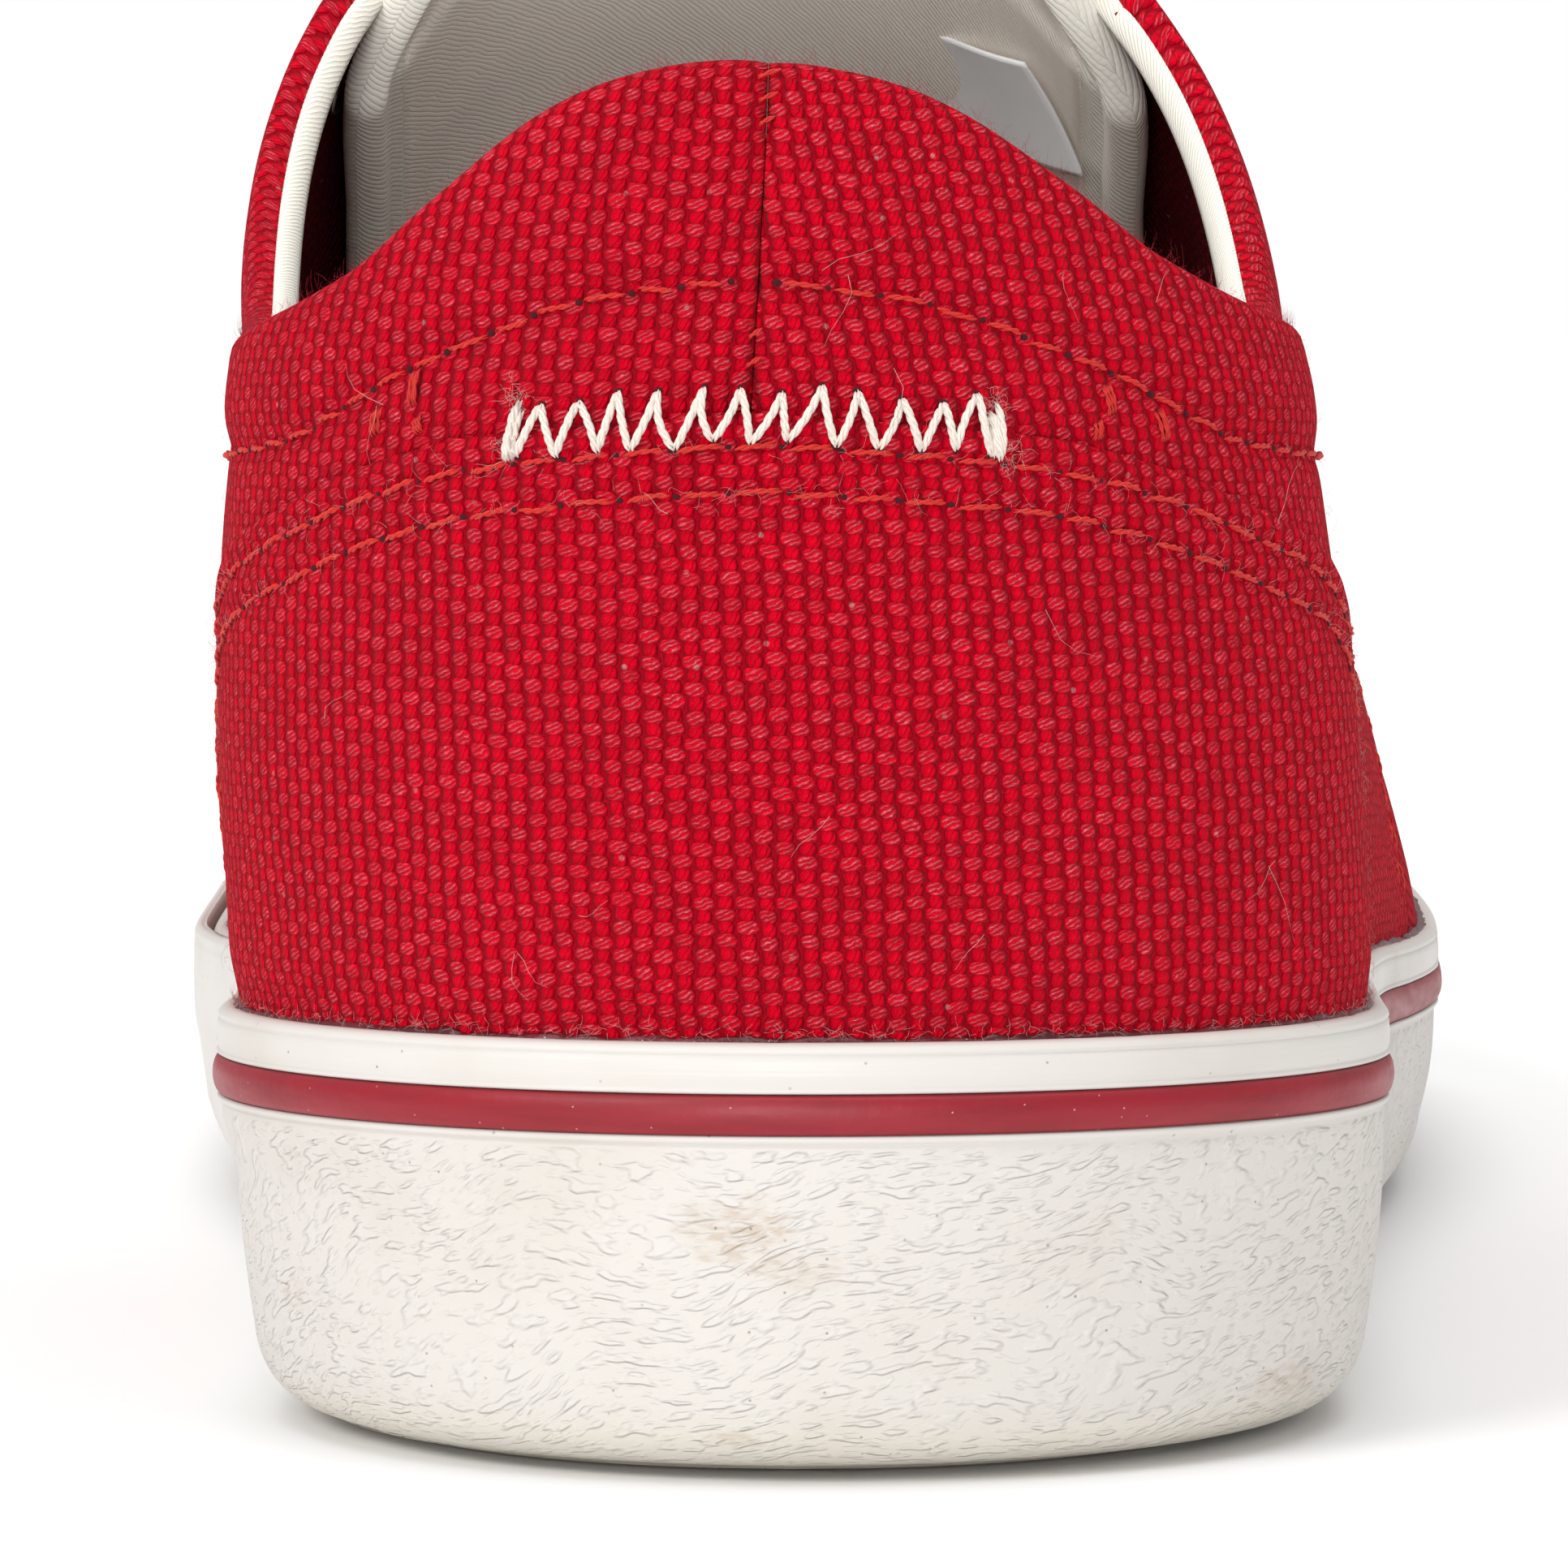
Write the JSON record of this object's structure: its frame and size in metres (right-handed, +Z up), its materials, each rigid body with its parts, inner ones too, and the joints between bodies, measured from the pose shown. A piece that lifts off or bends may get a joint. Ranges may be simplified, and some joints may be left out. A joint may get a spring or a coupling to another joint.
{
  "type": "canvas sneaker",
  "caption": "Low-top canvas lace-up sneaker, right shoe, empty and unbent on its sole, with a white rubber sidewall, red stripe and padded tongue.",
  "frame": {"origin": "centre of the bounding box at floor level, under the tread", "axes": "+Y from heel to toe, +X to the lateral side, +Z up"},
  "size_m": [0.0998, 0.2828, 0.114],
  "materials": {
    "white_rubber": "vulcanised white rubber, glossy bands over a grained wall",
    "red_rubber": "glossy dark red rubber bead",
    "canvas": "heavy ribbed cotton canvas, matt with loose fibres",
    "cotton": "undyed cotton twill",
    "lace": "flat woven cotton",
    "footbed": "cotton twill over foam",
    "eyelet": "rolled aluminium",
    "stitching": "twisted thread",
    "label": "blank woven tag"
  },
  "bodies": {
    "root": {"outsole": "white_rubber", "sidewall": "white_rubber", "sidewall_stripe": "red_rubber", "toe_bumper": "white_rubber", "insole": "footbed", "upper": "canvas", "tongue": "cotton", "laces": "lace", "eyelet_medial_1": "eyelet", "eyelet_medial_2": "eyelet", "eyelet_medial_3": "eyelet", "eyelet_medial_4": "eyelet", "eyelet_medial_5": "eyelet", "eyelet_lateral_1": "eyelet", "eyelet_lateral_2": "eyelet", "eyelet_lateral_3": "eyelet", "eyelet_lateral_4": "eyelet", "eyelet_lateral_5": "eyelet"}
  },
  "joints": []
}
